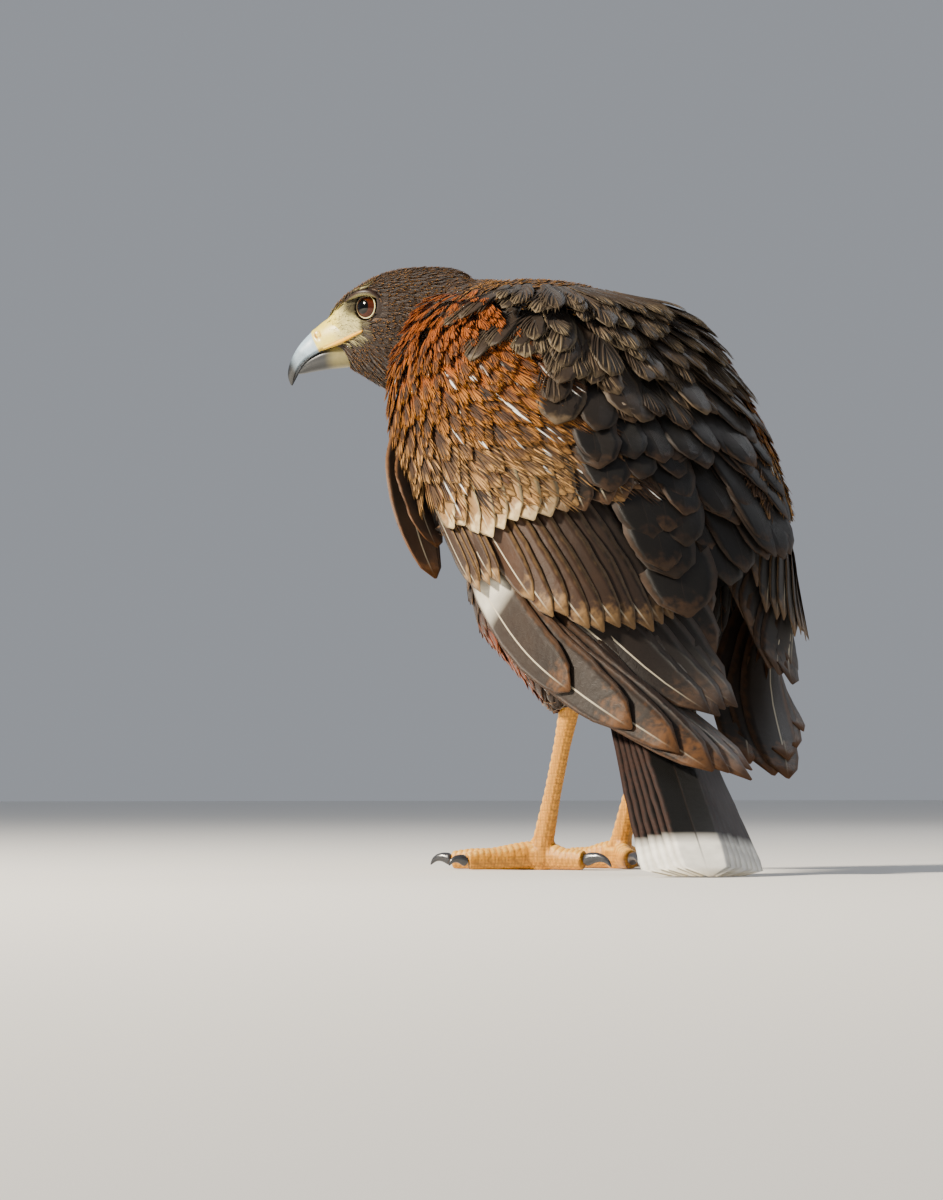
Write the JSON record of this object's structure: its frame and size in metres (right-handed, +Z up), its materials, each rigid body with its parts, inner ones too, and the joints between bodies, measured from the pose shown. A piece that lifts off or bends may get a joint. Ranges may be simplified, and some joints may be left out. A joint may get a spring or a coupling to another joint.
{
  "type": "harris hawk",
  "caption": "Still, life-size standing bird of prey with folded wings, head turned to its left and the tail tip resting on the floor.",
  "frame": {"origin": "on the floor midway between the two feet", "axes": "+Z up; the hips and feet face -Y, so the bird's left side is +X and the tail runs back along +Y"},
  "size_m": [0.1988, 0.3692, 0.3118],
  "materials": {
    "body_feathers": "soft dark brown contour feathers",
    "wing_feathers": "brown flight feathers and rufous coverts",
    "tail_feathers": "blackish feathers with a white end band",
    "thigh_feathers": "rufous leg feathers",
    "cere_skin": "smooth pale yellow skin",
    "leg_skin": "scaly yellow-orange skin",
    "horn": "polished blue-grey to black horn",
    "eye": "clear wet eye with a dark reddish-brown iris"
  },
  "bodies": {
    "root": {"torso": "body_feathers", "neck": "body_feathers", "head": "body_feathers", "cere": "cere_skin", "bill_upper": "horn", "bill_lower": "horn", "eye_left": "eye", "eye_right": "eye", "wing_left": "wing_feathers", "wing_right": "wing_feathers", "mantle": "body_feathers", "tail": "tail_feathers", "thigh_left": "thigh_feathers", "thigh_right": "thigh_feathers", "tarsus_left": "leg_skin", "tarsus_right": "leg_skin", "foot_left": "leg_skin", "foot_right": "leg_skin", "claw_left_hind": "horn", "claw_left_inner": "horn", "claw_left_middle": "horn", "claw_left_outer": "horn", "claw_right_hind": "horn", "claw_right_inner": "horn", "claw_right_middle": "horn", "claw_right_outer": "horn"}
  },
  "joints": []
}
